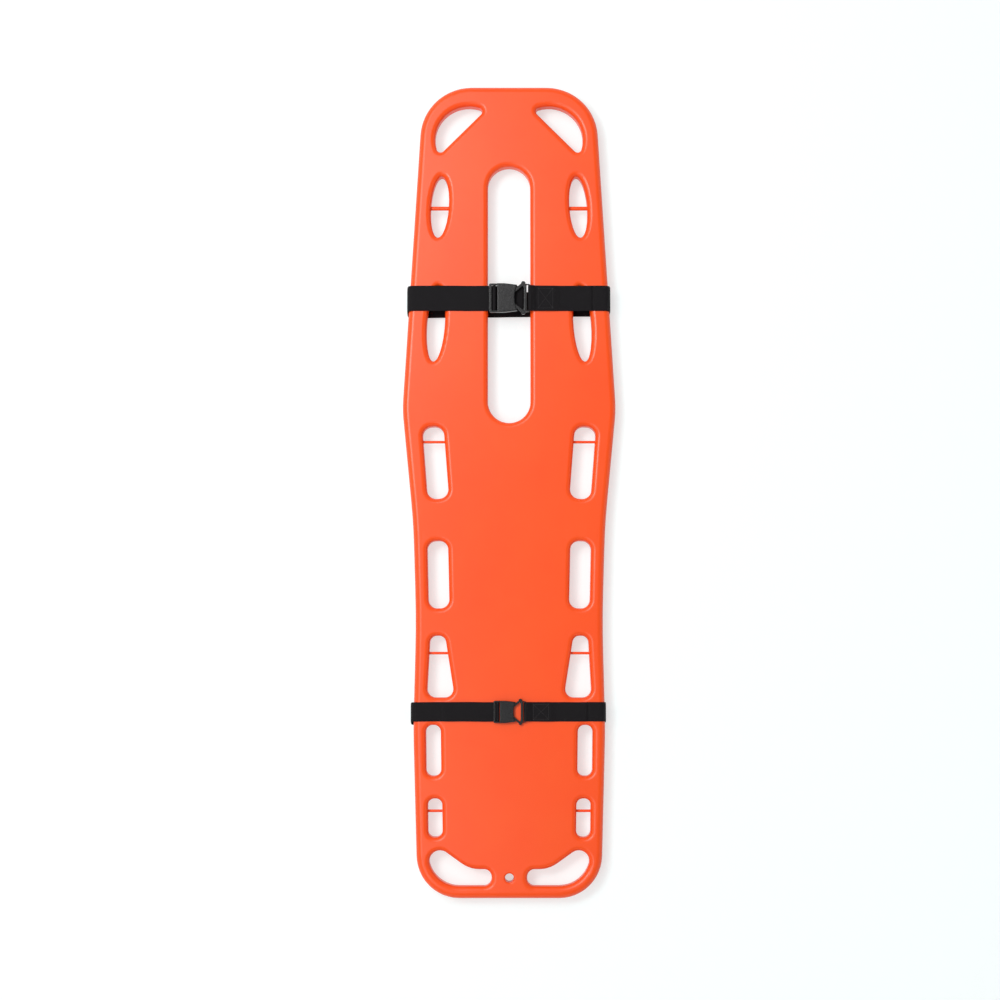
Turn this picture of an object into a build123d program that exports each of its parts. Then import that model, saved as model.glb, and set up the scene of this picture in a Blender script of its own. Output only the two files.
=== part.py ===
from build123d import *

import os
from dataclasses import dataclass
from math import cos, pi, radians, sin, sqrt, tan

# Spine board: a foam-filled moulded board with hand holes, strap pins and two buckled straps.
# Millimetres. Z is up, the board lies on its runners, Y runs towards the head end, X across.
# The origin is on the floor under the middle of the board.

# Board outline: half widths at stations along the board, and the rounding at each.
# Places are shares of the length, counted from the foot end.
BOARD_LENGTH = 1840.0
HEAD_HALF_WIDTH = 197.0
SHOULDER_HALF_WIDTH = 242.4
FLANK_HALF_WIDTH = 216.8
WAIST_HALF_WIDTH = 209.8
THIGH_HALF_WIDTH = 215.3
FOOT_HALF_WIDTH = 204.5
SHOULDER_PLACE = 0.595
FLANK_PLACE = 0.4533
WAIST_PLACE = 0.3342
THIGH_PLACE = 0.2038
HEAD_CORNER = 118.0
SHOULDER_ROUND = 300.0
FLANK_ROUND = 1500.0
WAIST_ROUND = 2500.0
THIGH_ROUND = 1500.0
FOOT_CORNER = 96.0

# The largest share of a run, or of a bridge, that one rounding may take, and how near counts as equal
ROUNDING_SHARE = 0.45
NEAR = 0.01

# Board section
BOARD_THICKNESS = 40.0
RUNNER_HEIGHT = 10.0
EDGE_ROUND = 14.0
RIM_ROUND = 11.0
SKIN = 4.0
THIN_SKIN_SHARE = 0.8

# Head handles: a round grip cut off by a straight chord across the corner
HANDLE_RADIUS = 78.0
HANDLE_CHORD = 23.5
HANDLE_TIP = 9.0
HANDLE_SIDE_RAIL = 35.5
HANDLE_HEAD_RAIL = 45.0

# Leaf holes beside the head slot: length, width and centre from the board's edge
LEAF_TILT = 4.0
HEAD_LEAF = (141.0, 40.5, 55.7)
CHEST_LEAF = (173.0, 40.6, 63.7)

# Slotted hand holes: length, width, corner, centre from the board's edge, tilt
HIP_SLOT = (164.6, 48.0, 21.0, 63.8, 4.5)
THIGH_SLOT = (152.0, 46.5, 20.0, 53.4, 1.4)
CALF_SLOT = (113.3, 33.0, 15.0, 44.4, 0.8)
ANKLE_SLOT = (85.5, 31.8, 14.5, 44.2, 0.8)

# Pear hole at the knee: narrow towards the head, wide towards the feet
KNEE_LENGTH = 138.0
KNEE_HEAD_WIDTH = 32.9
KNEE_FOOT_WIDTH = 62.0
KNEE_HEAD_RAIL = 33.2
KNEE_FOOT_RAIL = 29.1
KNEE_HEAD_CORNER = 15.5
KNEE_FOOT_CORNER = 19.0

# Foot handles: an outer lobe, a sloping finger edge and a straight grip inwards
FOOT_RAIL = 27.0
FOOT_LOBE = 23.5
FOOT_LOBE_BEARING = -18.0
FOOT_SLOPE = 35.4
FOOT_SLOPE_ROUND = 85.0
FOOT_GRIP_DEPTH = 37.0
FOOT_GRIP_INNER = 39.7

# Bridges of board between the openings of one side, head end first, sharing what length is left
BRIDGES = (56.5, 112.0, 148.2, 94.7, 61.5, 61.0, 49.7, 29.0)

# Head slot down the middle, and the hanging hole at the foot end
HEAD_SLOT_LENGTH = 590.0
HEAD_SLOT_WIDTH = 96.5
HEAD_SLOT_FROM_END = 186.0
HANG_HOLE = 20.0
HANG_HOLE_FROM_END = 45.5
HANG_RIM_ROUND = 4.0

# Strap pins moulded across the holes: diameter and distance from the hole's head end
PIN_SEAT_DEPTH = 5.5
PIN_PLAY = 0.1
HEAD_PIN = (9.0, 71.5)
HIP_PIN = (6.0, 34.6)
KNEE_PIN = (6.0, 38.8)
ANKLE_PIN = (6.0, 28.0)

# Runners under the board
RUNNER_WIDTH = 30.0
RUNNER_FROM_MIDDLE = 92.0
RUNNER_HEAD_MARGIN = 160.0
RUNNER_FOOT_MARGIN = 130.0
RUNNER_DRAFT = 12.0
RUNNER_ROUND = 3.0
RUNNER_ROOT = 1.0
STRAP_CHANNEL = 12.0

# Stiffening tubes inside the foam
TUBE_DIAMETER = 20.0
TUBE_WALL = 2.0
TUBE_FROM_MIDDLE = 94.0
TUBE_HEAD_MARGIN = 165.0
TUBE_FOOT_MARGIN = 150.0

# Plugs that close the two foam filling holes under the board
PLUG_HEAD_DIAMETER = 30.0
PLUG_SHANK_DIAMETER = 22.0
PLUG_HEAD_HEIGHT = 2.0
PLUG_ROUND = 1.0

# Webbing
WEBBING_THICKNESS = 1.8
WEBBING_GAP = 0.2
DECK_GAP = 0.3
WEBBING_BEND = 2.2
WEBBING_RAMP = 12.0
WEBBING_RAMP_ROUND = 20.0
SEWN_LENGTH = 55.0
TAIL_LENGTH = 115.0

# Buckle, at the size of the chest strap. Places are along the strap from the buckle's middle.
END_BAR = (-46.0, -40.5)
INNER_BAR = (-35.4, -32.2)
BAR_ROOT = 1.0
RECEIVER_BACK = -27.5
RECEIVER_TAPER_FROM = -10.0
TAPER_ROUND = 60.0
MOUTH_CORNER = 18.0
MOUTH_HOLLOW = 6.0
MOUTH_OVERCUT = 1.0
RECEIVER_MARGIN = 4.0
MOUTH_MARGIN = 0.5
CAVITY_END = -24.0
CAVITY_HALF_WIDTH = 25.2
CAVITY_ROOM = 0.5
LEDGE = (2.0, 8.0)
LEDGE_HALF_WIDTH = 21.2
BUTTON_DIAMETER = 19.0
BUTTON_DEPTH = 0.8
BUTTON_PLACE = -2.0
FRAME_HEIGHT = 5.0
FRAME_ROOT = 1.0
FRAME_ROUND = 1.0
MOUTH_WALL = 2.0
BUCKLE_ROUND = 2.2
TONGUE_ROUND = 1.4
RAIL_ROUND = 4.0
TONGUE_FRONT = 33.0
TONGUE_SLOT = (39.5, 44.6)
TONGUE_BACK = 48.2
TONGUE_MARGIN = 3.0
TONGUE_PLATE = 1.8
SLOT_PLAY = 0.5
BAR_HEIGHT = 4.0
HINGE_PLACE = 35.2
HINGE_HALF_WIDTH = 26.0
HINGE_RADIUS = 3.0
HINGE_PLAY = 0.3
EAR_PLACE = 32.0
EAR_HALF_WIDTH = 33.0
EAR_RADIUS = 5.0
ARM_RADIUS = 3.0
ARM_HALF_WIDTH = 17.3
ARM_KNEE = 13.0
ARM_END = -18.0
BARB_FACE = 1.6
BARB_HALF_WIDTH = 24.6
BARB_SHOULDER = -9.0
PRONG_THICKNESS = 6.0


@dataclass
class Strap:
    """One strap: its names, webbing width, place along the board and the size of its buckle."""

    name: str
    webbing: float
    centre: float
    size: float
    thickness: float


CHEST_WEBBING = 58.0
CHEST_FROM_LEAF = 56.5
CHEST_BUCKLE_SIZE = 1.0
CHEST_BUCKLE_THICKNESS = 13.0
LEG_WEBBING = 43.0
LEG_FROM_BRIDGE = 0.8
LEG_BUCKLE_SIZE = 0.77
LEG_BUCKLE_THICKNESS = 11.0

head_end = BOARD_LENGTH / 2
foot_end = -head_end
deck = RUNNER_HEIGHT + BOARD_THICKNESS
under = RUNNER_HEIGHT
layer = WEBBING_THICKNESS + WEBBING_GAP
bar_round = WEBBING_BEND - WEBBING_GAP - WEBBING_THICKNESS / 2


def place(share):
    """The station at a share of the board's length from the foot end."""
    return foot_end + share * BOARD_LENGTH


EDGE_STATIONS = [
    (HEAD_HALF_WIDTH, head_end),
    (SHOULDER_HALF_WIDTH, place(SHOULDER_PLACE)),
    (FLANK_HALF_WIDTH, place(FLANK_PLACE)),
    (WAIST_HALF_WIDTH, place(WAIST_PLACE)),
    (THIGH_HALF_WIDTH, place(THIGH_PLACE)),
    (FOOT_HALF_WIDTH, foot_end),
]
EDGE_ROUNDINGS = [HEAD_CORNER, SHOULDER_ROUND, FLANK_ROUND, WAIST_ROUND, THIGH_ROUND, FOOT_CORNER]


def edge_at(y):
    """Half width of the board at a station, on the straight lines between the outline's corners."""
    for (x_head, y_head), (x_foot, y_foot) in zip(EDGE_STATIONS, EDGE_STATIONS[1:]):
        if y >= y_foot:
            return x_foot + (x_head - x_foot) * (y - y_foot) / (y_head - y_foot)
    return FOOT_HALF_WIDTH


def rounding(before, corner, after, wanted):
    """The wanted rounding of a corner, or the largest that its two runs have room for."""
    run_in = Vector(*corner) - Vector(*before)
    run_out = Vector(*after) - Vector(*corner)
    half_turn = radians(run_in.get_angle(run_out)) / 2
    room = ROUNDING_SHARE * min(run_in.length, run_out.length)
    return min(wanted, room / tan(half_turn))


def rounded_outline(corners, wanted):
    """A closed outline through the corners, each rounded as wanted."""
    radii = [
        rounding(corners[i - 1], corners[i], corners[(i + 1) % len(corners)], wanted[i])
        for i in range(len(corners))
    ]
    return make_face(FilletPolyline(*corners, radius=radii, close=True))


def grown(face, room):
    """The face grown all round by some room, or unchanged where there is none."""
    return offset(face, room).face() if room else face


# Layout of one side. Each opening takes its length, and the bridges share the rest.


def handle_centre():
    """Centre of the round part of the head handle on the +X side."""
    y = head_end - HANDLE_HEAD_RAIL - HANDLE_RADIUS
    return edge_at(y) - HANDLE_SIDE_RAIL - HANDLE_RADIUS, y


def handle_reach():
    """Distance from the head end to the lowest point of the head handle's rounded tip."""
    rise = HANDLE_CHORD + HANDLE_TIP
    across = sqrt((HANDLE_RADIUS - HANDLE_TIP) ** 2 - rise**2)
    low_tip = handle_centre()[1] + (rise - across) / sqrt(2) - HANDLE_TIP
    return head_end - low_tip


def foot_lobe_centre():
    """Centre of the outer lobe of the foot handle on the +X side."""
    reach = FOOT_CORNER - FOOT_RAIL - FOOT_LOBE
    y_corner = foot_end + FOOT_CORNER
    x_corner = edge_at(y_corner) - FOOT_CORNER
    bearing = radians(FOOT_LOBE_BEARING)
    return x_corner + reach * cos(bearing), y_corner + reach * sin(bearing)


def foot_handle_reach():
    """Distance from the foot end to the highest point of the foot handle."""
    return foot_lobe_centre()[1] + FOOT_LOBE - foot_end


def opening_lengths():
    """Lengths of the seven openings between the head handle and the foot handle."""
    slots = [slot[0] for slot in (HEAD_LEAF, CHEST_LEAF, HIP_SLOT, THIGH_SLOT)]
    return slots + [KNEE_LENGTH, CALF_SLOT[0], ANKLE_SLOT[0]]


def bridges():
    """Lengths of the bridges of board before, between and after those openings."""
    spare = BOARD_LENGTH - handle_reach() - foot_handle_reach() - sum(opening_lengths())
    return [bridge * spare / sum(BRIDGES) for bridge in BRIDGES]


def rim_round():
    """The rounding of the openings' rims, or the largest that the narrowest bridge has room for."""
    return min(RIM_ROUND, ROUNDING_SHARE * min(bridges()))


def opening_centres():
    """Stations of the seven openings."""
    centres = []
    y = head_end - handle_reach()
    for bridge, length in zip(bridges(), opening_lengths()):
        y -= bridge
        centres.append(y - length / 2)
        y -= length
    return centres


HEAD_LEAF_Y, CHEST_LEAF_Y, HIP_Y, THIGH_Y, KNEE_Y, CALF_Y, ANKLE_Y = opening_centres()

calf_bridge = (KNEE_Y - KNEE_LENGTH / 2 + CALF_Y + CALF_SLOT[0] / 2) / 2
CHEST = Strap(
    "chest", CHEST_WEBBING, CHEST_LEAF_Y + CHEST_FROM_LEAF, CHEST_BUCKLE_SIZE, CHEST_BUCKLE_THICKNESS
)
LEGS = Strap(
    "leg", LEG_WEBBING, calf_bridge - LEG_FROM_BRIDGE, LEG_BUCKLE_SIZE, LEG_BUCKLE_THICKNESS
)
STRAPS = (CHEST, LEGS)


# Openings on the +X side. Each takes the room by which it is larger than the real hole,
# which is none in the shell and the side wall's thickness in the foam.


def head_handle(room=0.0):
    """Round grip in the head corner, cut off by a straight chord at 45 degrees."""
    height = HANDLE_RADIUS - HANDLE_CHORD
    strip = Pos(0, HANDLE_CHORD + height / 2) * Rectangle(2 * HANDLE_RADIUS, height)
    grip = Circle(HANDLE_RADIUS) & strip
    grip = fillet(grip.vertices(), HANDLE_TIP)
    return grown((Pos(*handle_centre()) * Rot(0, 0, -45) * grip).face(), room)


def leaf_hole(leaf, y, room=0.0):
    """Pointed oval that leans with the board's edge."""
    length, width, from_edge = leaf
    oval = Ellipse(width / 2 + room, length / 2 + room)
    return (Pos(edge_at(y) - from_edge, y) * Rot(0, 0, LEAF_TILT) * oval).face()


def slot_hole(slot, y, room=0.0):
    """Slotted hand hole with round corners."""
    length, width, corner, from_edge, tilt = slot
    hole = RectangleRounded(width + 2 * room, length + 2 * room, corner + room)
    return (Pos(edge_at(y) - from_edge, y) * Rot(0, 0, -tilt) * hole).face()


def knee_hole(room=0.0):
    """Pear-shaped hand hole, wider towards the feet."""
    y_head = KNEE_Y + KNEE_LENGTH / 2
    y_foot = KNEE_Y - KNEE_LENGTH / 2
    x_head = edge_at(y_head) - KNEE_HEAD_RAIL
    x_foot = edge_at(y_foot) - KNEE_FOOT_RAIL
    corners = [
        (x_head, y_head),
        (x_head - KNEE_HEAD_WIDTH, y_head),
        (x_foot - KNEE_FOOT_WIDTH, y_foot),
        (x_foot, y_foot),
    ]
    radii = [KNEE_HEAD_CORNER, KNEE_HEAD_CORNER, KNEE_FOOT_CORNER, KNEE_FOOT_CORNER]
    return grown(rounded_outline(corners, radii).face(), room)


def foot_handle(room=0.0):
    """Kidney-shaped grip that follows the foot corner and runs inwards along the foot end."""
    outer = FOOT_CORNER - FOOT_RAIL
    y_corner = foot_end + FOOT_CORNER
    x_corner = edge_at(y_corner) - FOOT_CORNER
    outer_arc = CenterArc((x_corner, y_corner), outer, -90, 90 + FOOT_LOBE_BEARING)
    lobe_turn = 90 + FOOT_SLOPE - FOOT_LOBE_BEARING
    lobe = CenterArc(foot_lobe_centre(), FOOT_LOBE, FOOT_LOBE_BEARING, lobe_turn)
    start = lobe @ 1
    bottom = y_corner - outer
    top = bottom + FOOT_GRIP_DEPTH
    bend_x = start.X - (start.Y - top) / tan(radians(FOOT_SLOPE))
    path = [
        (start.X, start.Y),
        (bend_x, top),
        (FOOT_GRIP_INNER, top),
        (FOOT_GRIP_INNER, bottom),
        (x_corner, bottom),
    ]
    wanted = [FOOT_SLOPE_ROUND, FOOT_GRIP_DEPTH / 2, FOOT_GRIP_DEPTH / 2]
    radii = [rounding(*path[i : i + 3], wanted[i]) for i in range(3)]
    inner = FilletPolyline(*path, radius=radii)
    return grown(make_face([outer_arc, lobe, *inner.edges()]).face(), room)


def side_openings(room=0.0):
    """All openings of the +X side."""
    return [
        head_handle(room),
        leaf_hole(HEAD_LEAF, HEAD_LEAF_Y, room),
        leaf_hole(CHEST_LEAF, CHEST_LEAF_Y, room),
        slot_hole(HIP_SLOT, HIP_Y, room),
        slot_hole(THIGH_SLOT, THIGH_Y, room),
        knee_hole(room),
        slot_hole(CALF_SLOT, CALF_Y, room),
        slot_hole(ANKLE_SLOT, ANKLE_Y, room),
        foot_handle(room),
    ]


def head_slot(room=0.0):
    """Long round-ended slot down the middle of the head half."""
    y = head_end - HEAD_SLOT_FROM_END - HEAD_SLOT_LENGTH / 2
    slot = SlotOverall(HEAD_SLOT_LENGTH + 2 * room, HEAD_SLOT_WIDTH + 2 * room, rotation=90)
    return (Pos(0, y) * slot).face()


def board_plan(edge_room=0.0, rim_room=0.0):
    """The board seen from above, drawn in by one room at its edge and by another at its openings."""
    right = [(x, y) for x, y in EDGE_STATIONS]
    left = [(-x, y) for x, y in reversed(EDGE_STATIONS)]
    plan = rounded_outline(right + left, EDGE_ROUNDINGS + EDGE_ROUNDINGS[::-1]).face()
    plan = grown(plan, -edge_room)
    openings = side_openings(rim_room)
    openings += [mirror(opening, about=Plane.YZ) for opening in openings]
    openings.append(head_slot(rim_room))
    return plan - openings


# Shell


def square_inset(round_edge, wall):
    """How far inside a rounded edge a square one must stay, `wall` under the face, to keep the skin."""
    skin = round_edge - THIN_SKIN_SHARE * wall
    return round_edge - sqrt(skin**2 - (round_edge - wall) ** 2)


def runner(length, round_bottom=True):
    """One runner, pointing down from its root plane at Z 0, drafted, with rounded ends."""
    root = SlotOverall(length, RUNNER_WIDTH, rotation=90)
    block = extrude(root, -(RUNNER_HEIGHT + RUNNER_ROOT), taper=RUNNER_DRAFT)
    bottom = block.faces().sort_by(Axis.Z)[0]
    return fillet(bottom.edges(), RUNNER_ROUND)


def runner_spans():
    """Head and foot end of each runner, with a channel left free for each strap."""
    ends = [head_end - RUNNER_HEAD_MARGIN]
    for strap in STRAPS:
        half = strap.webbing / 2 + STRAP_CHANNEL
        ends += [strap.centre + half, strap.centre - half]
    ends.append(foot_end + RUNNER_FOOT_MARGIN)
    return list(zip(ends[::2], ends[1::2]))


def runners():
    """The runners of both sides."""
    found = []
    for head, foot in runner_spans():
        for side in (-1, 1):
            at = Pos(side * RUNNER_FROM_MIDDLE, (head + foot) / 2, under + RUNNER_ROOT)
            found.append(at * runner(head - foot))
    return found


def foam_form():
    """The space inside the shell: a square-edged slab inside the rounded board."""
    edge_room = square_inset(EDGE_ROUND, SKIN)
    rim_room = square_inset(rim_round(), SKIN)
    slab = extrude(board_plan(edge_room, rim_room), BOARD_THICKNESS - 2 * SKIN)
    slab = Pos(0, 0, under + SKIN) * slab
    y_hang = foot_end + HANG_HOLE_FROM_END
    wall = Pos(0, y_hang, deck / 2) * Cylinder(HANG_HOLE / 2 + SKIN, deck)
    return slab - wall


def pin_places():
    """Diameter, station, and inner and outer end of each strap pin on the +X side."""
    places = []
    rows = (
        ("head", HEAD_PIN, HEAD_LEAF_Y + HEAD_LEAF[0] / 2, leaf_hole(HEAD_LEAF, HEAD_LEAF_Y)),
        ("hip", HIP_PIN, HIP_Y + HIP_SLOT[0] / 2, slot_hole(HIP_SLOT, HIP_Y)),
        ("knee", KNEE_PIN, KNEE_Y + KNEE_LENGTH / 2, knee_hole()),
        ("ankle", ANKLE_PIN, ANKLE_Y + ANKLE_SLOT[0] / 2, slot_hole(ANKLE_SLOT, ANKLE_Y)),
    )
    for name, (diameter, from_head), y_head, hole in rows:
        y = y_head - from_head
        across = hole & (Pos(0, y) * Rectangle(2 * SHOULDER_HALF_WIDTH, diameter))
        box = across.bounding_box()
        places.append((name, diameter, y, box.min.X - PIN_SEAT_DEPTH, box.max.X + PIN_SEAT_DEPTH))
    return places


pin_height = under + BOARD_THICKNESS / 2


def pin_solid(diameter, y, inner, outer):
    """A round bar across a hole, from one seat to the other."""
    bar = Cylinder(diameter / 2, outer - inner, rotation=(0, 90, 0))
    return Pos((inner + outer) / 2, y, pin_height) * bar


def board_body():
    """The moulded board, solid inside: rounded edges, rolled rims, runners and pin seats."""
    body = Pos(0, 0, under) * extrude(board_plan(), BOARD_THICKNESS)
    faces = body.faces().filter_by(Axis.Z).sort_by(Axis.Z)
    outer = faces[0].outer_wire().edges() + faces[-1].outer_wire().edges()
    body = fillet(outer, EDGE_ROUND)
    faces = body.faces().filter_by(Axis.Z).sort_by(Axis.Z)
    rims = [edge for face in (faces[0], faces[-1]) for wire in face.inner_wires() for edge in wire.edges()]
    body = fillet(rims, rim_round())
    y_hang = foot_end + HANG_HOLE_FROM_END
    body -= Pos(0, y_hang, deck / 2) * Cylinder(HANG_HOLE / 2, deck)
    hang_rims = [
        edge
        for edge in body.edges().filter_by(GeomType.CIRCLE)
        if abs(edge.radius - HANG_HOLE / 2) < NEAR and abs(edge.arc_center.Y - y_hang) < NEAR
    ]
    body = fillet(hang_rims, HANG_RIM_ROUND)
    body += runners()
    for _, diameter, y, inner, outer in pin_places():
        for side in (-1, 1):
            ends = sorted((side * inner, side * outer))
            body -= pin_solid(diameter + 2 * PIN_PLAY, y, *ends)
    return body


def plug_places():
    """Stations of the filling plugs: between the straps, and between the leg strap and the foot end."""
    return [(CHEST.centre + LEGS.centre) / 2, (LEGS.centre + foot_end) / 2]


def filling_hole(y):
    """Hole through the underside into the foam."""
    return Pos(0, y, under + SKIN / 2) * Cylinder(PLUG_SHANK_DIAMETER / 2, SKIN)


def board_shell():
    """The moulded skin, with the filling holes open."""
    shell = board_body() - foam_form()
    for y in plug_places():
        shell -= filling_hole(y)
    return shell


# Inside the shell


def tube_span():
    """Length and middle station of the stiffening tubes."""
    head = head_end - TUBE_HEAD_MARGIN
    foot = foot_end + TUBE_FOOT_MARGIN
    return head - foot, (head + foot) / 2


def tube_at(side, radius):
    """A full round bar along the board, in the place of one tube."""
    length, y = tube_span()
    bar = Cylinder(radius, length, rotation=(90, 0, 0))
    return Pos(side * TUBE_FROM_MIDDLE, y, under + BOARD_THICKNESS / 2) * bar


def foam_core():
    """Rigid foam that fills the shell around the tubes."""
    return foam_form() - [tube_at(side, TUBE_DIAMETER / 2) for side in (-1, 1)]


def stiffener(side):
    """Reinforcing tube bedded in the foam."""
    return tube_at(side, TUBE_DIAMETER / 2) - tube_at(side, TUBE_DIAMETER / 2 - TUBE_WALL)


def filling_plug(y):
    """Mushroom plug pushed into a filling hole from below."""
    head = Pos(0, y, under - PLUG_HEAD_HEIGHT / 2) * Cylinder(PLUG_HEAD_DIAMETER / 2, PLUG_HEAD_HEIGHT)
    head = fillet(head.edges().group_by(Axis.Z)[0], PLUG_ROUND)
    return head + filling_hole(y)


# Straps


def scaled(strap, *places):
    """Places along the strap at the size of this strap's buckle."""
    return [strap.size * at for at in places]


def layer_height(count):
    """Height of the middle of a webbing layer over the deck, the first layer lying on it."""
    return deck + DECK_GAP + WEBBING_THICKNESS / 2 + (count - 1) * layer


def bar_bottom():
    """Height of the underside of the bars, above the two layers that pass below them."""
    return layer_height(2) + WEBBING_THICKNESS / 2 + WEBBING_GAP


def bar_top(strap):
    """Height of the top of the bars that the webbing goes round."""
    return bar_bottom() + strap.size * BAR_HEIGHT


def webbing_edge(strap):
    """Half width of the webbing's loop round the board, at the wider side of the strap."""
    widest = max(edge_at(strap.centre - strap.webbing / 2), edge_at(strap.centre + strap.webbing / 2))
    return widest + DECK_GAP + WEBBING_THICKNESS / 2


def webbing_path(strap):
    """The webbing's middle line, seen along the board, from its sewn end to its free tail."""
    low, high = layer_height(1), layer_height(2)
    over = bar_top(strap) + WEBBING_GAP + WEBBING_THICKNESS / 2
    below = under - DECK_GAP - WEBBING_THICKNESS / 2
    clear = WEBBING_GAP + WEBBING_THICKNESS / 2
    edge = webbing_edge(strap)
    turn = EDGE_ROUND + DECK_GAP + WEBBING_THICKNESS / 2
    slot_end, back, bar_left, bar_right = scaled(strap, TONGUE_SLOT[1], TONGUE_BACK, *INNER_BAR)
    up = slot_end - clear
    sewn = back + SEWN_LENGTH
    tail = bar_left - TAIL_LENGTH
    points = [
        (sewn, low),
        (up, low),
        (up, over),
        (back + clear, over),
        (back + clear + WEBBING_RAMP, high),
        (sewn + WEBBING_GAP, high),
        (sewn + WEBBING_GAP + WEBBING_RAMP, low),
        (edge, low),
        (edge, below),
        (-edge, below),
        (-edge, low),
        (tail - WEBBING_GAP - WEBBING_RAMP, low),
        (tail - WEBBING_GAP, high),
        (bar_left - clear, high),
        (bar_left - clear, over),
        (bar_right + clear, over),
        (bar_right + clear, low),
        (tail, low),
    ]
    bend, ramp = WEBBING_BEND, WEBBING_RAMP_ROUND
    wanted = [bend, bend, bend, bend, ramp, ramp, turn, turn, turn, turn, ramp, ramp, bend, bend, bend, bend]
    radii = [rounding(*points[i : i + 3], wanted[i]) for i in range(len(wanted))]
    return FilletPolyline(*points, radius=radii)


def webbing(strap):
    """One length of woven webbing: round the board and through both halves of the buckle."""
    band = trace(webbing_path(strap), WEBBING_THICKNESS)
    solid = extrude(band, strap.webbing / 2, both=True)
    return Pos(0, strap.centre, 0) * Rot(90, 0, 0) * solid


def plate(sketch, bottom, top):
    """A flat piece of the buckle between two heights."""
    return Pos(0, 0, bottom) * extrude(sketch, top - bottom)


def rail_ends(front, back, half, corner):
    """A plan with square corners at the front and round ones at the back."""
    plan = Pos((front + back) / 2, 0) * Rectangle(back - front, 2 * half)
    return fillet(plan.vertices().group_by(Axis.X)[-1], corner)


def capsule(start, end, start_radius, end_radius):
    """Two circles and the straight flanks between them."""
    circles = [Pos(*start) * Circle(start_radius), Pos(*end) * Circle(end_radius)]
    return make_hull([circle.edge() for circle in circles])


def receiver_bottom():
    """Height of the underside of the receiver's box, just over the deck."""
    return deck + DECK_GAP


def cavity_heights(strap):
    """Floor and ceiling of the receiver's cavity."""
    middle = receiver_bottom() + strap.thickness / 2
    half = strap.size * PRONG_THICKNESS / 2 + CAVITY_ROOM
    return middle - half, middle + half


def receiver_box(strap, bottom, top):
    """The socket's closed part seen from the back bar to the hollow mouth, with its cavity."""
    s = strap.size
    half = strap.webbing / 2 + s * RECEIVER_MARGIN
    mouth = strap.webbing / 2 + s * MOUTH_MARGIN
    back, taper, corner, hollow = scaled(
        strap, RECEIVER_BACK, RECEIVER_TAPER_FROM, MOUTH_CORNER, MOUTH_CORNER - MOUTH_HOLLOW
    )
    near_side = Polyline((back, half), (back, -half), (taper, -half), (corner, -mouth))
    mouth_arc = ThreePointArc((corner, -mouth), (hollow, 0), (corner, mouth))
    far_side = Polyline((corner, mouth), (taper, half), (back, half))
    plan = make_face([*near_side.edges(), mouth_arc, *far_side.edges()])
    bends = [point for point in plan.vertices() if abs(point.X - taper) < NEAR]
    plan = fillet(bends, s * TAPER_ROUND)
    body = plate(plan, bottom, top)
    body = fillet(body.faces().sort_by(Axis.Z)[-1].edges(), s * BUCKLE_ROUND)
    inner, ledge, ledge_front, far, wide, narrow = scaled(
        strap, CAVITY_END, *LEDGE, MOUTH_CORNER + MOUTH_OVERCUT, CAVITY_HALF_WIDTH, LEDGE_HALF_WIDTH
    )
    flare = mouth - s * MOUTH_WALL
    cavity_side = [(inner, wide), (ledge, wide), (ledge, narrow), (ledge_front, narrow), (far, flare)]
    cavity = Polyline(*cavity_side, *[(x, -y) for x, y in reversed(cavity_side)], close=True)
    body -= plate(make_face(cavity), *cavity_heights(strap))
    recess = Cylinder(s * BUTTON_DIAMETER / 2, 2 * BUTTON_DEPTH)
    return body - Pos(s * BUTTON_PLACE, 0, top) * recess


def receiver(strap):
    """Socket half of the buckle: a box with an open mouth, and behind it two bars between rails."""
    s = strap.size
    half = strap.webbing / 2 + s * RECEIVER_MARGIN
    bottom = receiver_bottom()
    frame_top = bar_bottom() + s * FRAME_HEIGHT
    end, gap_left, back = scaled(strap, END_BAR[0], END_BAR[1], RECEIVER_BACK)
    root = back + s * FRAME_ROOT
    frame_plan = Pos((end + root) / 2, 0) * Rectangle(root - end, 2 * half)
    frame_plan = fillet(frame_plan.vertices().group_by(Axis.X)[0], s * RAIL_ROUND)
    channel = strap.webbing + 2 * SLOT_PLAY
    window = Pos((gap_left + back) / 2, 0) * Rectangle(back - gap_left, channel)
    passage = Pos((end + back) / 2, 0) * Rectangle(2 * (back - end), channel)
    rails = plate(frame_plan, bar_bottom(), frame_top)
    rails = fillet(rails.faces().sort_by(Axis.Z)[-1].edges().filter_by(Axis.Y, reverse=True), s * FRAME_ROUND)
    rails -= plate(window, bar_bottom(), frame_top)
    rails += plate(frame_plan - passage, bottom, bar_bottom())
    bar_left, bar_right = scaled(strap, *INNER_BAR)
    bar_length = channel + 2 * s * BAR_ROOT
    bar_plan = Pos((bar_left + bar_right) / 2, 0) * Rectangle(bar_right - bar_left, bar_length)
    bar = plate(bar_plan, bar_bottom(), bar_top(strap))
    bar = fillet(bar.edges().filter_by(Axis.Y).group_by(Axis.Z)[-1], bar_round)
    return receiver_box(strap, bottom, bottom + strap.thickness) + rails + bar


def prong_heights(strap):
    """Underside and top of the prongs."""
    floor, ceiling = cavity_heights(strap)
    return floor + CAVITY_ROOM, ceiling - CAVITY_ROOM


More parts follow.
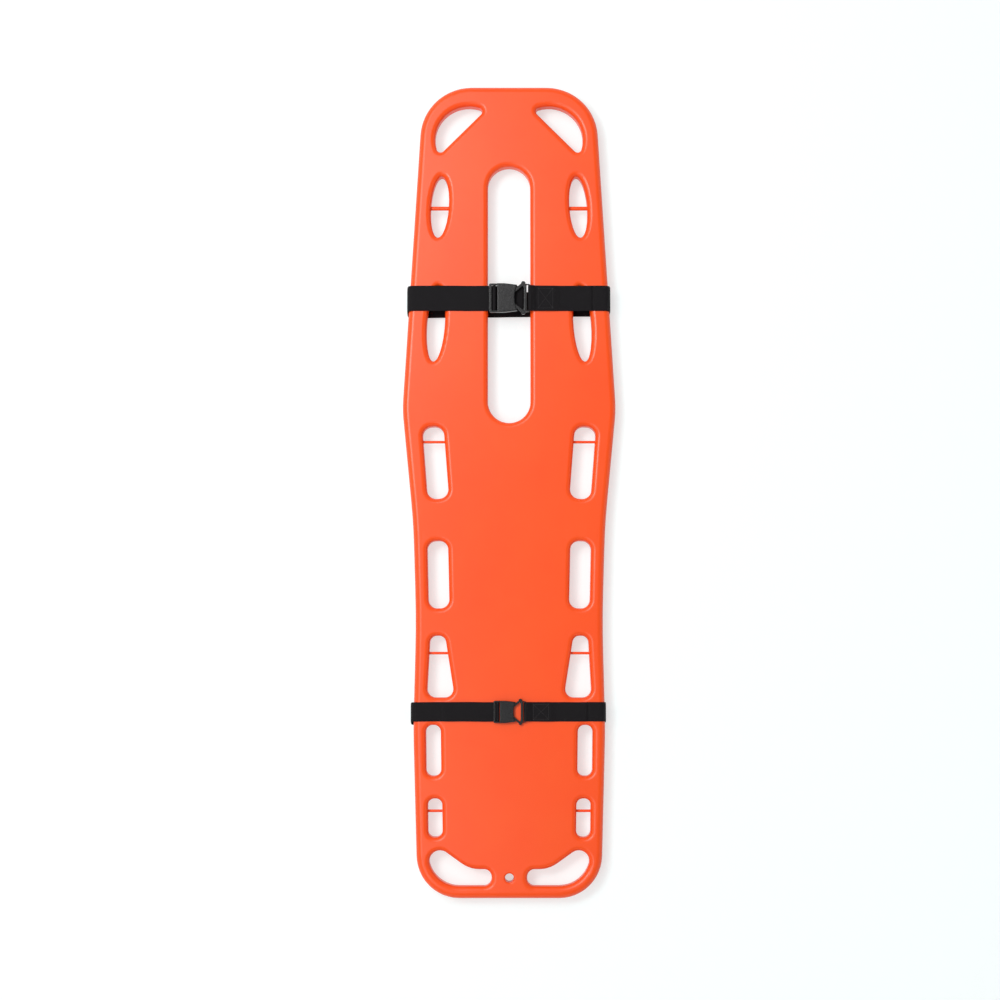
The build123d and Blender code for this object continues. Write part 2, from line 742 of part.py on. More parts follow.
def prong_plan(strap, side):
    """A prong seen from above: knuckle, press ear, sloping arm, straight arm and barb."""
    s = strap.size

    def at(x, y):
        return (s * x, side * s * y)

    knuckle, ear = at(HINGE_PLACE, HINGE_HALF_WIDTH), at(EAR_PLACE, EAR_HALF_WIDTH)
    knee, tip = at(ARM_KNEE, ARM_HALF_WIDTH), at(ARM_END, ARM_HALF_WIDTH)
    arm = s * ARM_RADIUS
    barb = [
        at(BARB_FACE, ARM_HALF_WIDTH),
        at(BARB_FACE, BARB_HALF_WIDTH),
        at(BARB_SHOULDER, BARB_HALF_WIDTH),
        at(ARM_END, ARM_HALF_WIDTH + ARM_RADIUS),
        at(ARM_END, ARM_HALF_WIDTH),
        at(BARB_FACE, ARM_HALF_WIDTH),
    ]
    plan = capsule(knuckle, ear, s * HINGE_RADIUS, s * HINGE_RADIUS)
    plan += Pos(*ear) * Circle(s * EAR_RADIUS)
    plan += capsule(ear, knee, arm, arm)
    plan += capsule(knee, tip, arm, arm)
    return plan + make_face(Polyline(*barb))


def prong(strap, side):
    """Springy arm of the tongue, with a press ear outside the mouth and a barb inside it."""
    return plate(prong_plan(strap, side), *prong_heights(strap))


def tongue(strap):
    """Base of the plug half: a bar for the webbing's sewn loop, and a seat for each prong."""
    s = strap.size
    front, slot_front, slot_back, back = scaled(strap, TONGUE_FRONT, *TONGUE_SLOT, TONGUE_BACK)
    half = strap.webbing / 2 + s * TONGUE_MARGIN
    low, high = prong_heights(strap)
    bottom, top = low - s * TONGUE_PLATE, high + s * TONGUE_PLATE
    outline = RectangleRounded(back - front, 2 * half, s * RAIL_ROUND)
    body = plate(Pos((front + back) / 2, 0) * outline, bottom, top)
    body = fillet(body.faces().sort_by(Axis.Z)[-1].edges(), s * TONGUE_ROUND)
    behind = plate(Pos(slot_front + strap.thickness, 0) * Rectangle(2 * strap.thickness, 4 * half), bottom, top)
    body -= behind
    bar_low, bar_high = bar_bottom(), bar_top(strap)
    rail_plan = rail_ends(slot_front, back, half, s * RAIL_ROUND)
    window = Pos((slot_front + slot_back) / 2, 0) * Rectangle(
        slot_back - slot_front, strap.webbing + 2 * SLOT_PLAY
    )
    loop = plate(rail_plan - window, bar_low, bar_high)
    body += fillet(loop.edges().filter_by(Axis.Y).group_by(Axis.Z)[-1], bar_round)
    for side in (-1, 1):
        room = offset(prong_plan(strap, side), HINGE_PLAY).face()
        body -= plate(room, low - HINGE_PLAY, high + HINGE_PLAY)
    return body


def on_board(strap, solid):
    """A buckle piece moved to its strap's place along the board."""
    return Pos(0, strap.centre, 0) * solid


pieces = {
    "board_shell": board_shell(),
    "foam_core": foam_core(),
    "stiffener_left": stiffener(-1),
    "stiffener_right": stiffener(1),
    "filling_plugs": Compound(children=[filling_plug(y) for y in plug_places()]),
}
for name, diameter, y, inner, outer in pin_places():
    pieces[f"{name}_pin_left"] = pin_solid(diameter, y, -outer, -inner)
    pieces[f"{name}_pin_right"] = pin_solid(diameter, y, inner, outer)
for strap in STRAPS:
    pieces[f"{strap.name}_webbing"] = webbing(strap)
    pieces[f"{strap.name}_receiver"] = on_board(strap, receiver(strap))
    pieces[f"{strap.name}_tongue"] = on_board(strap, tongue(strap))
    pieces[f"{strap.name}_prong_headward"] = on_board(strap, prong(strap, 1))
    pieces[f"{strap.name}_prong_footward"] = on_board(strap, prong(strap, -1))

os.makedirs("parts", exist_ok=True)
for name, shape in pieces.items():
    export_step(shape, f"parts/{name}.step")
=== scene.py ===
# Spine board with two buckled straps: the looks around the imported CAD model.
# Metres, in the board's own frame: Z up, Y towards the head end, origin on the floor.
import math

import bmesh
import bpy
import numpy as np
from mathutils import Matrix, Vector


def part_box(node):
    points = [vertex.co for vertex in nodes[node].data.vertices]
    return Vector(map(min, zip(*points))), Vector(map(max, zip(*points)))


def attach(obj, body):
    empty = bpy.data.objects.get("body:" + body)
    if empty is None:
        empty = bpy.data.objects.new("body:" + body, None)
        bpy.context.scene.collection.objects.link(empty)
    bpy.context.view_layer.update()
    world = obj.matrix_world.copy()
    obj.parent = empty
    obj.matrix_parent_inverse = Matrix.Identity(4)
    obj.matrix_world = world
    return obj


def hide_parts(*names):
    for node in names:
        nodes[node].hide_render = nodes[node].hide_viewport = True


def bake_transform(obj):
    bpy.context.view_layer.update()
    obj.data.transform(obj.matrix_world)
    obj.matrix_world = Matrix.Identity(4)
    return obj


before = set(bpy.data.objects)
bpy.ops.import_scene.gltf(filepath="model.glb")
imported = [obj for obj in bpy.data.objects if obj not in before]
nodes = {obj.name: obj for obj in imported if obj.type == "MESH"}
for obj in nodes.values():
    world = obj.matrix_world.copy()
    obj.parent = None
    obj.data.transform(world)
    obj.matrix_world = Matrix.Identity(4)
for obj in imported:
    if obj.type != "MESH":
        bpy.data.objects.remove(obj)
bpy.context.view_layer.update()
scene = bpy.context.scene

# The camera hangs 4.2 m over the board and leans a little from the foot end,
# as the photograph's shrinking head end and its view of the foot-side walls show.
camera = bpy.data.objects.new("camera", bpy.data.cameras.new("camera"))
scene.collection.objects.link(camera)
camera.location = (-0.0209, -0.3459, 4.2262)
aim = Vector((-0.0209, -0.0310, 0.0380))
camera.rotation_euler = (aim - camera.location).to_track_quat("-Z", "Y").to_euler()
camera.data.lens = 66.84
camera.data.sensor_width = 36.0
scene.camera = camera


# The board is one hollow moulding of high-density polyethylene, made round its openings in one piece
# and then filled with rigid foam. These short functions serve its material and the later ones.
def linear(hex_colour):
    """An sRGB hex colour as linear red, green, blue and alpha."""
    shares = [int(hex_colour[i : i + 2], 16) / 255 for i in (1, 3, 5)]
    return [s / 12.92 if s <= 0.04045 else ((s + 0.055) / 1.055) ** 2.4 for s in shares] + [1.0]


def node(tree, kind, inputs=None, **settings):
    """Adds a node with its settings, and sets or links its inputs."""
    added = tree.nodes.new(kind)
    for name, value in settings.items():
        setattr(added, name, value)
    for socket, value in (inputs or {}).items():
        if isinstance(value, bpy.types.NodeSocket):
            tree.links.new(value, added.inputs[socket])
        else:
            added.inputs[socket].default_value = value
    return added


def material(name):
    """An empty material with no nodes, and its tree."""
    made = bpy.data.materials.new(name)
    made.use_nodes = True
    made.node_tree.nodes.clear()
    return made, made.node_tree


def paint(obj, made):
    """The object's only material."""
    obj.data.materials.clear()
    obj.data.materials.append(made)


# High-density polyethylene, moulded: strong orange, satin, with a pebbled skin of about 1 mm
# grains, a little mottling where the wall cooled unevenly, hair-fine scuffs along the board, and a
# raised parting line round its walls where the two halves of the mould met.
parting_line = 0.030
moulded_orange, tree = material("moulded_polyethylene_orange")
place = node(tree, "ShaderNodeTexCoord").outputs["Object"]
mottle = node(tree, "ShaderNodeTexNoise", {"Vector": place, "Scale": 9.0, "Detail": 2.0})
colour = node(
    tree,
    "ShaderNodeMix",
    {0: mottle.outputs["Fac"], 6: linear("#FF4C04"), 7: linear("#FF560C")},
    data_type="RGBA",
)
pebbles = node(tree, "ShaderNodeTexNoise", {"Vector": place, "Scale": 800.0, "Detail": 2.0})
stretched = node(tree, "ShaderNodeMapping", {"Vector": place, "Scale": (260.0, 14.0, 260.0)})
scuffs = node(tree, "ShaderNodeTexNoise", {"Vector": stretched.outputs[0], "Scale": 1.0, "Detail": 3.0})
scuffed = node(
    tree,
    "ShaderNodeMapRange",
    {"Value": scuffs.outputs["Fac"], "From Min": 0.62, "From Max": 0.76, "To Min": 0.0, "To Max": 1.0},
)
rough = node(
    tree,
    "ShaderNodeMapRange",
    {"Value": scuffed.outputs[0], "To Min": 0.33, "To Max": 0.46},
)
height = node(tree, "ShaderNodeSeparateXYZ", {"Vector": place}).outputs["Z"]
off_line = node(tree, "ShaderNodeMath", {0: height, 1: parting_line}, operation="SUBTRACT")
from_line = node(tree, "ShaderNodeMath", {0: off_line.outputs[0]}, operation="ABSOLUTE")
seam = node(
    tree,
    "ShaderNodeMapRange",
    {
        "Value": from_line.outputs[0],
        "From Min": 0.0003,
        "From Max": 0.0009,
        "To Min": 0.00025,
        "To Max": 0.0,
    },
)
relief = node(
    tree,
    "ShaderNodeMath",
    {0: pebbles.outputs["Fac"], 1: 0.00005, 2: seam.outputs[0]},
    operation="MULTIPLY_ADD",
)
bump = node(tree, "ShaderNodeBump", {"Height": relief.outputs[0], "Strength": 1.0, "Distance": 1.0})
shader = node(
    tree,
    "ShaderNodeBsdfPrincipled",
    {
        "Base Color": colour.outputs[2],
        "Roughness": rough.outputs[0],
        "IOR": 1.51,
        "Normal": bump.outputs[0],
    },
)
node(tree, "ShaderNodeOutputMaterial", {"Surface": shader.outputs[0]})
paint(nodes["board_shell"], moulded_orange)

# Thin bars across four pairs of hand holes take the snap hooks of the straps.
# They are moulded in the board's own plastic.
for name in ("head_pin", "hip_pin", "knee_pin", "ankle_pin"):
    for side in ("left", "right"):
        paint(nodes[f"{name}_{side}"], moulded_orange)

# Two plugs close the holes through which the foam was poured, on the underside.
# They are turned or moulded from the same polyethylene.
paint(nodes["filling_plugs"], moulded_orange)

# The core is rigid polyurethane foam, poured in and set inside the shell.
# It is pale straw yellow, matt, and full of closed cells of about half a millimetre.
rigid_foam, tree = material("rigid_polyurethane_foam")
place = node(tree, "ShaderNodeTexCoord").outputs["Object"]
cells = node(tree, "ShaderNodeTexVoronoi", {"Vector": place, "Scale": 1700.0})
tone = node(tree, "ShaderNodeTexNoise", {"Vector": place, "Scale": 30.0})
colour = node(
    tree,
    "ShaderNodeMix",
    {0: tone.outputs["Fac"], 6: linear("#D9C48A"), 7: linear("#E8D7A4")},
    data_type="RGBA",
)
relief = node(tree, "ShaderNodeMath", {0: cells.outputs["Distance"], 1: 0.0002}, operation="MULTIPLY")
bump = node(tree, "ShaderNodeBump", {"Height": relief.outputs[0], "Distance": 1.0})
shader = node(
    tree,
    "ShaderNodeBsdfPrincipled",
    {"Base Color": colour.outputs[2], "Roughness": 0.9, "IOR": 1.5, "Normal": bump.outputs[0]},
)
node(tree, "ShaderNodeOutputMaterial", {"Surface": shader.outputs[0]})
paint(nodes["foam_core"], rigid_foam)

# Two pultruded glass-fibre tubes stiffen the board along its length.
# The black resin shows the fibres as fine lines along the tube.
pultruded_tube, tree = material("pultruded_glass_fibre")
place = node(tree, "ShaderNodeTexCoord").outputs["Object"]
stretched = node(tree, "ShaderNodeMapping", {"Vector": place, "Scale": (2500.0, 20.0, 2500.0)})
fibres = node(tree, "ShaderNodeTexNoise", {"Vector": stretched.outputs[0], "Scale": 1.0})
colour = node(
    tree,
    "ShaderNodeMix",
    {0: fibres.outputs["Fac"], 6: linear("#1A1A1C"), 7: linear("#38383A")},
    data_type="RGBA",
)
shader = node(
    tree,
    "ShaderNodeBsdfPrincipled",
    {"Base Color": colour.outputs[2], "Roughness": 0.45, "IOR": 1.53},
)
node(tree, "ShaderNodeOutputMaterial", {"Surface": shader.outputs[0]})
paint(nodes["stiffener_left"], pultruded_tube)
paint(nodes["stiffener_right"], pultruded_tube)


# Each strap is one length of woven webbing, laid round the board and threaded through both
# halves of its buckle. Its yarns run along and across it, and its edges are woven round. It is made
# here as a loop, sewn round the plug's bar, and a band, which stays on the board.
deck_run, lapped_run, under_run = 0.0512, 0.0532, 0.0088
edge_bend, lap_bend, bar_bend = 0.0152, 0.020, 0.0022
lap_slope = 0.012
board_span = 0.46
# The webbing wanders a little from its line: the most that it does, its pace and where it starts.
wanders = ((0.00018, 0.031, 0.0), (0.00012, 0.0117, 1.3))


def rounded_path(corners):
    """Points along a line with rounded corners, given as rows of x, z and radius."""
    wide_bend, run_share, longest_step = 0.01, 0.45, 0.006
    points = [Vector((x, z)) for x, z, _ in corners]
    radii = [r for _, _, r in corners]
    line = [points[0]]
    for before, corner, after, radius in zip(points, points[1:], points[2:], radii[1:]):
        run_in, run_out = before - corner, after - corner
        back, ahead = run_in.normalized(), run_out.normalized()
        full_reach = radius / math.tan(back.angle(ahead) / 2)
        reach = min(full_reach, run_share * run_in.length, run_share * run_out.length)
        steps = 8 if radius > wide_bend else 6
        start, end = corner + back * reach, corner + ahead * reach
        for i in range(steps + 1):
            t = i / steps
            line.append(start * (1 - t) ** 2 + corner * 2 * t * (1 - t) + end * t**2)
    line.append(points[-1])
    dense = [line[0]]
    for a, b in zip(line, line[1:]):
        count = max(1, math.ceil((b - a).length / longest_step))
        dense += [a.lerp(b, i / count) for i in range(1, count + 1)]
    return dense


def loop_route(bar, over_bar, turn, sewn_end, joint):
    """Corners of the loop sewn round the plug's bar, from its sewn end to where it joins the band."""
    lap_end = sewn_end + 0.0002
    return [
        (sewn_end, deck_run, 0),
        (bar, deck_run, bar_bend),
        (bar, over_bar, bar_bend),
        (bar + turn, over_bar, bar_bend),
        (bar + turn + lap_slope, lapped_run, bar_bend),
        (lap_end, lapped_run, lap_bend),
        (lap_end + lap_slope, deck_run, lap_bend),
        (joint, deck_run, 0),
    ]


def girth_route(joint, right, left):
    """Corners of the band from the loop round the board's right edge, under it and up at the left."""
    return [
        (joint, deck_run, 0),
        (right, deck_run, edge_bend),
        (right, under_run, edge_bend),
        (left, under_run, edge_bend),
        (left, deck_run, edge_bend),
    ]


def webbing(name, corners, width, centre, thickness=0.0018, slip=(0.0, 0.0)):
    """A woven band along the corners, with round edges, and a map of its length and width in metres.

    Its run under the board lies nearer the foot end by the slips at its left and right end.
    """
    edge_fullness = 10
    line = rounded_path(corners)
    across = [math.sin(math.radians(a)) for a in np.linspace(-90, 90, 33)]
    mesh = bmesh.new()
    uv = mesh.loops.layers.uv.new("weave")
    rings, run = [], 0.0
    for i, point in enumerate(line):
        ahead = (line[min(i + 1, len(line) - 1)] - line[max(i - 1, 0)]).normalized()
        normal = Vector((-ahead.y, ahead.x))
        run += (point - line[i - 1]).length if i else 0.0
        drift = sum(most * math.sin(run / pace + start) for most, pace, start in wanders)
        under = min(1.0, max(0.0, (deck_run - point.y) / (deck_run - under_run)))
        rightward = 0.5 + point.x / board_span
        slipped = slip[0] * (1 - rightward) + slip[1] * rightward
        drift -= slipped * under * under * (3 - 2 * under)
        ring = []
        for side in (1, -1):
            for a in across if side == 1 else across[::-1][1:-1]:
                v = a * width / 2
                half = thickness / 2 * (1 - abs(a) ** edge_fullness) ** 0.5
                at = point + normal * side * half
                vertex = mesh.verts.new((at.x, centre + v + drift, at.y))
                ring.append((vertex, run, v))
        rings.append(ring)
    count = len(rings[0])
    for ring, following in zip(rings, rings[1:]):
        for j in range(count):
            corners_here = [ring[j], ring[(j + 1) % count], following[(j + 1) % count], following[j]]
            face = mesh.faces.new([c[0] for c in corners_here])
            for loop, c in zip(face.loops, corners_here):
                loop[uv].uv = (c[1], c[2])
            face.smooth = True
    for ring in (rings[0][::-1], rings[-1]):
        face = mesh.faces.new([c[0] for c in ring])
        for loop, c in zip(face.loops, ring):
            loop[uv].uv = (c[1], c[2])
    bmesh.ops.recalc_face_normals(mesh, faces=mesh.faces)
    data = bpy.data.meshes.new(name)
    mesh.to_mesh(data)
    mesh.free()
    band = bpy.data.objects.new(name, data)
    scene.collection.objects.link(band)
    return band


# Polyester webbing, woven black and dull, with a soft fibre sheen; its colour is painted darker between
# the ribs of its weave as shade and lighter on the ribs as sheen.
# Its picks and ribs are drawn about twice as coarse as woven ones, so that they show.
rib_width, pick_length = 0.0024, 0.0030
woven_black, tree = material("woven_polyester_black")
map_place = node(tree, "ShaderNodeUVMap", uv_map="weave").outputs[0]
parts = node(tree, "ShaderNodeSeparateXYZ", {"Vector": map_place})
rib = node(tree, "ShaderNodeMath", {0: parts.outputs["Y"], 1: 1 / rib_width}, operation="MULTIPLY")
rib_turn = node(tree, "ShaderNodeMath", {0: rib.outputs[0]}, operation="FLOOR")
half_turn = node(tree, "ShaderNodeMath", {0: rib_turn.outputs[0], 1: 0.5}, operation="MULTIPLY")
pick = node(
    tree,
    "ShaderNodeMath",
    {0: parts.outputs["X"], 1: 1 / pick_length, 2: half_turn.outputs[0]},
    operation="MULTIPLY_ADD",
)
waves = []
for steps in (rib, pick):
    angle = node(tree, "ShaderNodeMath", {0: steps.outputs[0], 1: math.pi}, operation="MULTIPLY")
    sine = node(tree, "ShaderNodeMath", {0: angle.outputs[0]}, operation="SINE")
    waves.append(node(tree, "ShaderNodeMath", {0: sine.outputs[0]}, operation="ABSOLUTE"))
weave = node(
    tree, "ShaderNodeMath", {0: waves[0].outputs[0], 1: waves[1].outputs[0]}, operation="MULTIPLY"
)
lint = node(tree, "ShaderNodeTexNoise", {"Vector": map_place, "Scale": 900.0, "Detail": 3.0})
# The weave pattern also sets the colour: painted shade in the hollows between the yarns, painted sheen on
# the ribs.
colour = node(
    tree,
    "ShaderNodeMix",
    {0: weave.outputs[0], 6: linear("#080608"), 7: linear("#181418")},
    data_type="RGBA",
)
relief = node(
    tree,
    "ShaderNodeMath",
    {0: lint.outputs["Fac"], 1: 0.3, 2: weave.outputs[0]},
    operation="MULTIPLY_ADD",
)
scaled = node(tree, "ShaderNodeMath", {0: relief.outputs[0], 1: 0.0003}, operation="MULTIPLY")
bump = node(tree, "ShaderNodeBump", {"Height": scaled.outputs[0], "Distance": 1.0})
shader = node(
    tree,
    "ShaderNodeBsdfPrincipled",
    {
        "Base Color": colour.outputs[2],
        "Roughness": 0.75,
        "IOR": 1.5,
        "Specular IOR Level": 0.2,
        "Sheen Weight": 0.05,
        "Sheen Roughness": 0.4,
        "Normal": bump.outputs[0],
    },
)
node(tree, "ShaderNodeOutputMaterial", {"Surface": shader.outputs[0]})

# The chest strap is 58 mm wide. Its right end is sewn back on itself round the plug's bar, and its
# left end turns round the socket's bar and is tucked under the buckle, in the board's head slot.
chest_width, chest_over_bar = 0.058, 0.0594
chest_loop_path = loop_route(0.0435, chest_over_bar, turn=0.0058, sewn_end=0.1032, joint=0.1900)
chest_path = girth_route(joint=0.1900, right=0.22996, left=-0.2318) + [
    (-0.0365, deck_run, bar_bend),
    (-0.0365, chest_over_bar, bar_bend),
    (-0.0311, chest_over_bar, bar_bend),
    (-0.0311, 0.0490, bar_bend),
    (0.0340, 0.0490, 0),
]
chest_low, chest_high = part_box("chest_webbing")
chest_middle = (chest_low.y + chest_high.y) / 2
chest_band = webbing("chest_band", chest_path, chest_width, chest_middle, slip=(0.0095, 0.005))
chest_loop = webbing("chest_loop", chest_loop_path, chest_width, chest_middle)
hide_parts("chest_webbing")
for woven in (chest_band, chest_loop):
    paint(woven, woven_black)

# The leg strap is the same make at 43 mm wide, with a smaller buckle. Its left end turns round the
# socket's bar and runs back as a free tail between the strap and the deck.
leg_width, leg_over_bar = 0.043, 0.05848
leg_loop_path = loop_route(0.03324, leg_over_bar, turn=0.00497, sewn_end=0.0921, joint=0.1760)
leg_path = girth_route(joint=0.1760, right=0.21612, left=-0.2204) + [
    (-0.15446, deck_run, lap_bend),
    (-0.14246, lapped_run, lap_bend),
    (-0.02836, lapped_run, bar_bend),
    (-0.02836, leg_over_bar, bar_bend),
    (-0.02369, leg_over_bar, 0.0021),
    (-0.02369, deck_run, bar_bend),
    (-0.14226, deck_run, 0),
]
leg_low, leg_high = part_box("leg_webbing")
leg_middle = (leg_low.y + leg_high.y) / 2
leg_band = webbing("leg_band", leg_path, leg_width, leg_middle, slip=(0.0095, 0.005))
leg_loop = webbing("leg_loop", leg_loop_path, leg_width, leg_middle)
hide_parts("leg_webbing")
for woven in (leg_band, leg_loop):
    paint(woven, woven_black)

# Each strap's end is sewn back on itself with a box of stitches and a cross inside it.
# The thread is bonded polyester, black, and a little glossier than the webbing.
sewing_thread, tree = material("bonded_polyester_thread")
place = node(tree, "ShaderNodeTexCoord").outputs["Object"]
twist = node(tree, "ShaderNodeTexWave", {"Vector": place, "Scale": 900.0}, bands_direction="DIAGONAL")
colour = node(
    tree,
    "ShaderNodeMix",
    {0: twist.outputs["Fac"], 6: linear("#1B191B"), 7: linear("#343034")},
    data_type="RGBA",
)
shader = node(
    tree,
    "ShaderNodeBsdfPrincipled",
    {"Base Color": colour.outputs[2], "Roughness": 0.5, "IOR": 1.5},
)
node(tree, "ShaderNodeOutputMaterial", {"Surface": shader.outputs[0]})

stitching = bpy.data.node_groups.new("stitching", "GeometryNodeTree")
stitching.interface.new_socket("Geometry", in_out="INPUT", socket_type="NodeSocketGeometry")
for label, size in (("Pitch", 0.0034), ("Stitch length", 0.0026), ("Thread radius", 0.00045)):
    socket = stitching.interface.new_socket(label, in_out="INPUT", socket_type="NodeSocketFloat")
    socket.default_value = size
stitching.interface.new_socket("Thread", in_out="INPUT", socket_type="NodeSocketMaterial")
stitching.interface.new_socket("Geometry", in_out="OUTPUT", socket_type="NodeSocketGeometry")
given = node(stitching, "NodeGroupInput").outputs
seam_line = node(stitching, "GeometryNodeMeshToCurve", {"Mesh": given["Geometry"]})
holes = node(
    stitching,
    "GeometryNodeResampleCurve",
    {"Curve": seam_line.outputs[0], "Length": given["Pitch"]},
    mode="LENGTH",
)
stitch = node(stitching, "GeometryNodeMeshIcoSphere", {"Radius": 1.0, "Subdivisions": 2})
half_length = node(
    stitching, "ShaderNodeMath", {0: given["Stitch length"], 1: 0.5}, operation="MULTIPLY"
)
size = node(
    stitching,
    "ShaderNodeCombineXYZ",
    {"X": given["Thread radius"], "Y": given["Thread radius"], "Z": half_length.outputs[0]},
)
tangent = node(stitching, "GeometryNodeInputTangent")
turn = node(
    stitching,
    "FunctionNodeAlignRotationToVector",
    {"Vector": tangent.outputs[0]},
    axis="Z",
)
placed = node(
    stitching,
    "GeometryNodeInstanceOnPoints",
    {
        "Points": holes.outputs[0],
        "Instance": stitch.outputs[0],
        "Rotation": turn.outputs[0],
        "Scale": size.outputs[0],
    },
)
real = node(stitching, "GeometryNodeRealizeInstances", {"Geometry": placed.outputs[0]})
threaded = node(
    stitching, "GeometryNodeSetMaterial", {"Geometry": real.outputs[0], "Material": given["Thread"]}
)
node(stitching, "NodeGroupOutput", {"Geometry": threaded.outputs[0]})


def sewn_box(name, left, right, centre, half, level):
    """A box of stitches with a cross, on the webbing's top face."""
    low, high = centre - half, centre + half
    corners = [(left, low), (right, low), (right, high), (left, high)]
    lines = [(0, 1), (1, 2), (2, 3), (3, 0), (0, 2), (1, 3)]
    verts, edges = [], []
    for a, b in lines:
        edges.append((len(verts), len(verts) + 1))
        verts += [(*corners[a], level), (*corners[b], level)]
    data = bpy.data.meshes.new(name)
    data.from_pydata(verts, edges, [])
    sewn = bpy.data.objects.new(name, data)
    scene.collection.objects.link(sewn)
    modifier = sewn.modifiers.new("stitching", "NODES")
    modifier.node_group = stitching
    for item in stitching.interface.items_tree:
        if item.in_out == "INPUT" and item.name == "Thread":
            modifier[item.identifier] = sewing_thread
    bpy.context.view_layer.update()
    made = bpy.data.meshes.new_from_object(sewn.evaluated_get(bpy.context.evaluated_depsgraph_get()))
    sewn.modifiers.clear()
    sewn.data = made
    for face in made.polygons:
        face.use_smooth = True
    return sewn


thread_level = 0.05425
chest_stitches = sewn_box("chest_stitches", 0.066, 0.099, chest_middle, half=0.0225, level=thread_level)
leg_stitches = sewn_box("leg_stitches", 0.054, 0.0875, leg_middle, half=0.0165, level=thread_level)

# The buckles are moulded in acetal, black and glossy: a socket half, and a plug half whose two
# springy prongs are squeezed at their ears. Gates and ejector pins leave the faces slightly uneven.
moulded_acetal, tree = material("moulded_acetal_black")
place = node(tree, "ShaderNodeTexCoord").outputs["Object"]
uneven = node(tree, "ShaderNodeTexNoise", {"Vector": place, "Scale": 160.0, "Detail": 2.0})
rubs = node(tree, "ShaderNodeTexNoise", {"Vector": place, "Scale": 700.0, "Detail": 4.0})
colour = node(
    tree,
    "ShaderNodeMix",
    {0: uneven.outputs["Fac"], 6: linear("#0B0A0C"), 7: linear("#19181A")},
    data_type="RGBA",
)
rough = node(
    tree,
    "ShaderNodeMapRange",
    {"Value": rubs.outputs["Fac"], "From Min": 0.3, "From Max": 0.7, "To Min": 0.22, "To Max": 0.36},
)
relief = node(tree, "ShaderNodeMath", {0: uneven.outputs["Fac"], 1: 0.0002}, operation="MULTIPLY")
bump = node(tree, "ShaderNodeBump", {"Height": relief.outputs[0], "Distance": 1.0})
shader = node(
    tree,
    "ShaderNodeBsdfPrincipled",
    {
        "Base Color": colour.outputs[2],
        "Roughness": rough.outputs[0],
        "IOR": 1.48,
        "Normal": bump.outputs[0],
    },
)
node(tree, "ShaderNodeOutputMaterial", {"Surface": shader.outputs[0]})
for strap in ("chest", "leg"):
    for piece in ("receiver", "tongue", "prong_headward", "prong_footward"):
        paint(nodes[f"{strap}_{piece}"], moulded_acetal)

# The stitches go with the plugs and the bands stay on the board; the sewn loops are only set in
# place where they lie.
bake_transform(chest_loop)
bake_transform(leg_loop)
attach(chest_band, "board")
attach(leg_band, "board")
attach(chest_stitches, "chest_plug")
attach(leg_stitches, "leg_plug")

# The floor is a white sweep that curves up into low walls all round. The camera and reflections see
# it as white, and it still takes the board's shadow, weakly, as bright paper does.
flat_radius, cove_radius, wall_top = 5.0, 1.0, 3.5
sweep = bmesh.new()
profile = [(r, 0.0) for r in (0.001, 1.5, 3.0, flat_radius)]
for a in np.linspace(0.2, math.pi / 2, 8):
    profile.append((flat_radius + cove_radius * math.sin(a), cove_radius * (1.0 - math.cos(a))))
profile.append((flat_radius + cove_radius, wall_top))
rim = [sweep.verts.new((r, 0.0, z)) for r, z in profile]
outline = [sweep.edges.new(pair) for pair in zip(rim, rim[1:])]
bmesh.ops.spin(
    sweep, geom=rim + outline, angle=2 * math.pi, steps=72, axis=(0, 0, 1), cent=(0, 0, 0)
)
bmesh.ops.remove_doubles(sweep, verts=sweep.verts, dist=0.002)
bmesh.ops.recalc_face_normals(sweep, faces=sweep.faces)
for face in sweep.faces:
    face.smooth = True
floor_data = bpy.data.meshes.new("floor")
sweep.to_mesh(floor_data)
sweep.free()
floor = bpy.data.objects.new("floor", floor_data)
scene.collection.objects.link(floor)
white_sweep, tree = material("white_paper_sweep")
seen = node(tree, "ShaderNodeLightPath").outputs
paper = node(tree, "ShaderNodeBsdfDiffuse", {"Color": linear("#F2F2F2")})
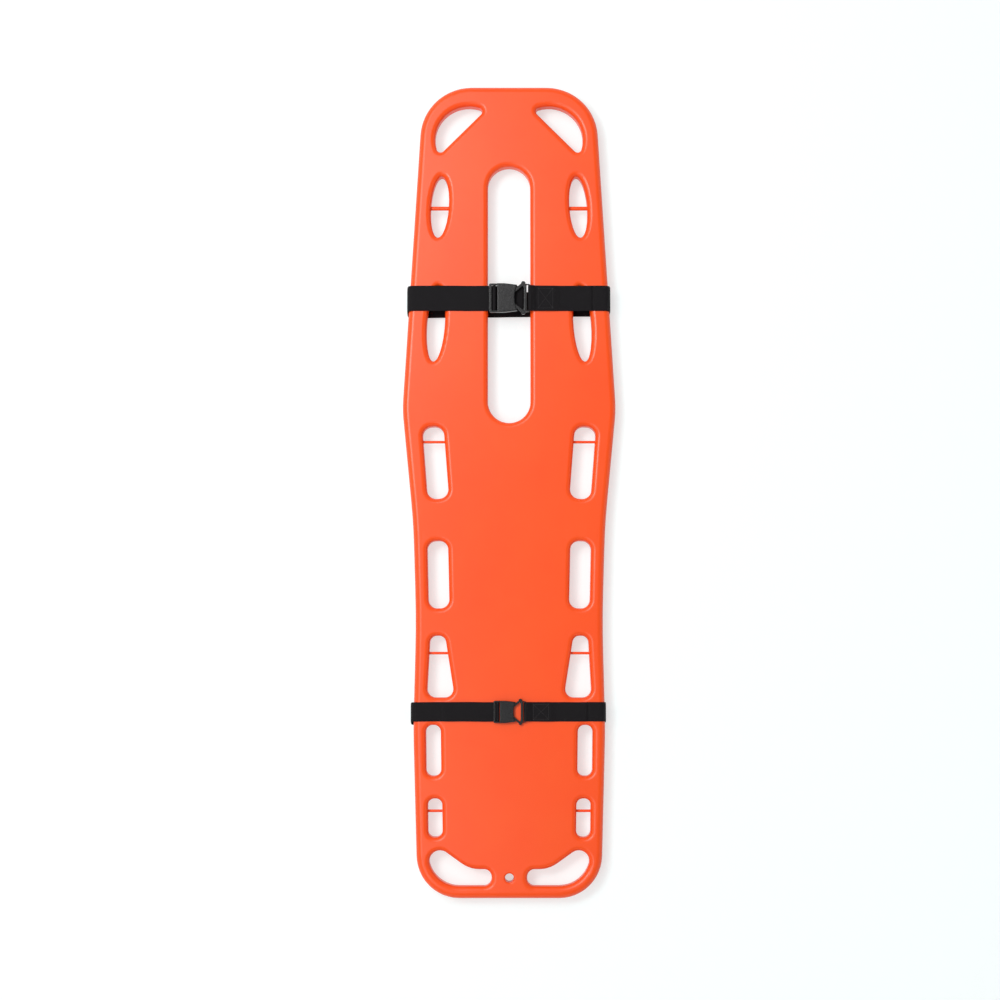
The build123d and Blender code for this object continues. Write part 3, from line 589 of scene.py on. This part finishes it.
bright = node(tree, "ShaderNodeBsdfDiffuse", {"Color": linear("#A8BCBC")})
glow = node(tree, "ShaderNodeEmission", {"Color": (1.0, 0.94, 0.94, 1.0), "Strength": 0.62})
bright_glow = node(tree, "ShaderNodeAddShader", {0: bright.outputs[0], 1: glow.outputs[0]})
looked_at = node(
    tree, "ShaderNodeMath", {0: seen["Is Camera Ray"], 1: seen["Is Glossy Ray"]}, operation="MAXIMUM"
)
white_to = node(
    tree, "ShaderNodeMath", {0: looked_at.outputs[0], 1: seen["Is Transmission Ray"]}, operation="MAXIMUM"
)
shown = node(
    tree, "ShaderNodeMixShader", {0: white_to.outputs[0], 1: paper.outputs[0], 2: bright_glow.outputs[0]}
)
node(tree, "ShaderNodeOutputMaterial", {"Surface": shown.outputs[0]})
paint(floor, white_sweep)

# The room is evenly dim above the sweep. Two soft boxes hang to the left of the board, the one over
# the head end brighter, and a smaller one beyond them gives the narrow shadow along the right side.
world = bpy.data.worlds.new("studio")
world.use_nodes = True
world.node_tree.nodes.clear()
room = node(world.node_tree, "ShaderNodeBackground", {"Color": (1.0, 1.0, 1.0, 1.0), "Strength": 0.34})
node(world.node_tree, "ShaderNodeOutputWorld", {"Surface": room.outputs[0]})
scene.world = world


def soft_box(name, place, target, width, length, brightness):
    """A rectangular soft box facing a point, with its brightness as a colour's level."""
    data = bpy.data.lights.new(name, "AREA")
    data.shape = "RECTANGLE"
    data.size = width
    data.size_y = length
    data.energy = brightness * math.pi * width * length
    box = bpy.data.objects.new(name, data)
    scene.collection.objects.link(box)
    box.location = place
    box.rotation_euler = (Vector(target) - Vector(place)).to_track_quat("-Z", "Y").to_euler()


soft_box("head_box", (-1.35, 2.0, 4.3), (-0.6, 1.0, 0), 2.1, 2.2, 4.6)
soft_box("foot_box", (-1.55, -1.5, 4.3), (-0.8, -0.8, 0), 2.0, 2.2, 3.0)
soft_box("side_box", (-2.4, 0.9, 4.6), (0, 0, 0), 1.2, 1.2, 19.0)

scene.view_settings.view_transform = "Standard"
